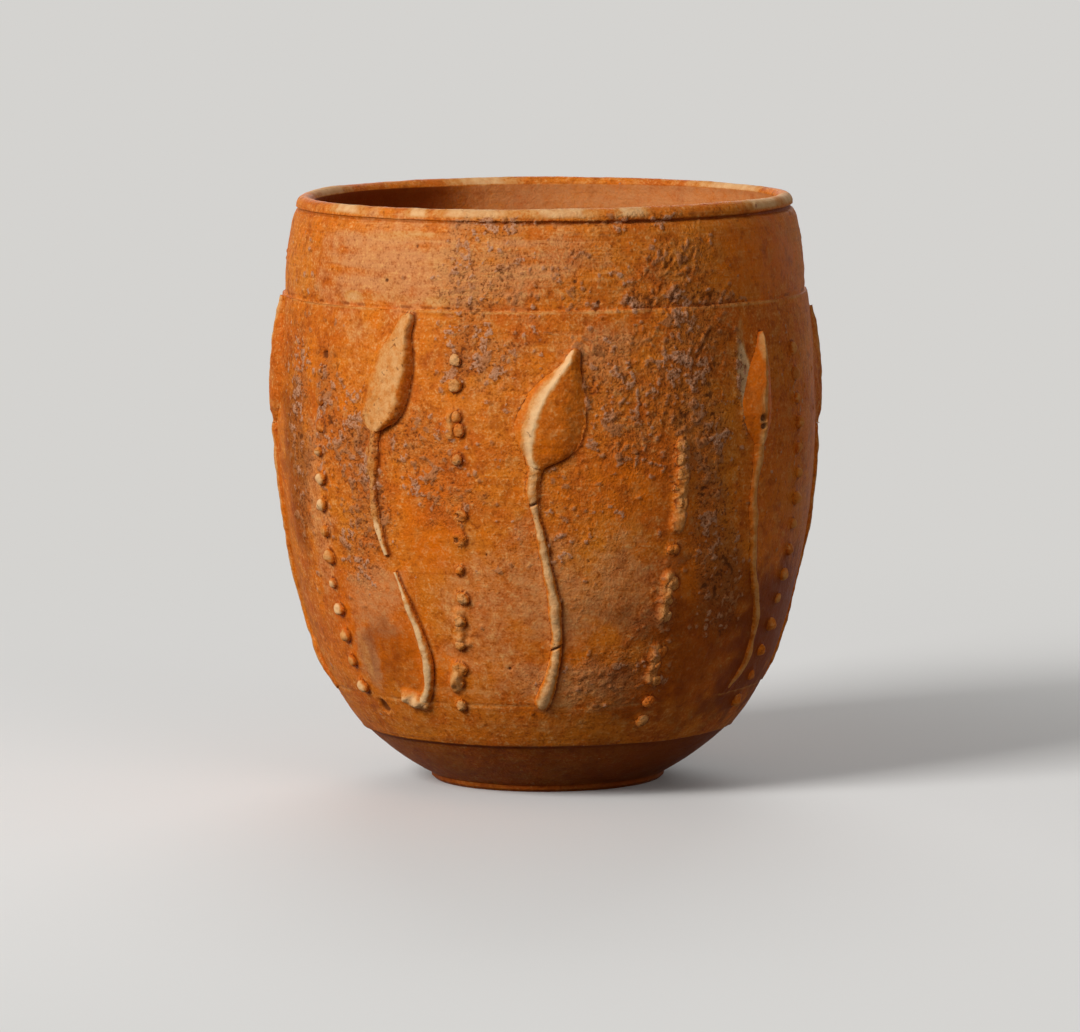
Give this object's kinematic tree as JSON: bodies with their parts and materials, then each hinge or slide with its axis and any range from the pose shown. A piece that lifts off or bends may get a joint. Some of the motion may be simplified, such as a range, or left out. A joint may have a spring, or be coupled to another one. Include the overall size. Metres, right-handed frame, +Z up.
{
  "type": "earthenware drinking cup",
  "caption": "Handleless wheel-thrown earthenware cup with a plain band under a grooved lip and trailed slip leaves, winding stems and rows of dots on its round wall.",
  "frame": {"origin": "middle of the foot's underside, on the surface that the cup stands on", "axes": "+Z up along the cup's axis through the mouth, -Y towards the viewer of the picture, +X to the viewer's right"},
  "size_m": [0.0899, 0.0903, 0.095],
  "materials": {
    "coated_clay": "orange-brown slip coat, satin, worn and stained",
    "trailed_slip": "same clay as thick slip, its coat rubbed through to buff on the crests"
  },
  "bodies": {
    "root": {"thrown_body": "coated_clay", "leaf_front": "trailed_slip", "leaf_front_right": "trailed_slip", "leaf_right": "trailed_slip", "leaf_back_right": "trailed_slip", "leaf_back": "trailed_slip", "leaf_back_left": "trailed_slip", "leaf_left": "trailed_slip", "leaf_front_left": "trailed_slip", "stem_front": "trailed_slip", "stem_front_right": "trailed_slip", "stem_right": "trailed_slip", "stem_back_right": "trailed_slip", "stem_back": "trailed_slip", "stem_back_left": "trailed_slip", "stem_left": "trailed_slip", "stem_front_left": "trailed_slip", "dot_row_1": "trailed_slip", "dot_row_2": "trailed_slip", "dot_row_3": "trailed_slip", "dot_row_4": "trailed_slip", "dot_row_5": "trailed_slip", "dot_row_6": "trailed_slip", "dot_row_7": "trailed_slip", "dot_row_8": "trailed_slip"}
  },
  "joints": []
}
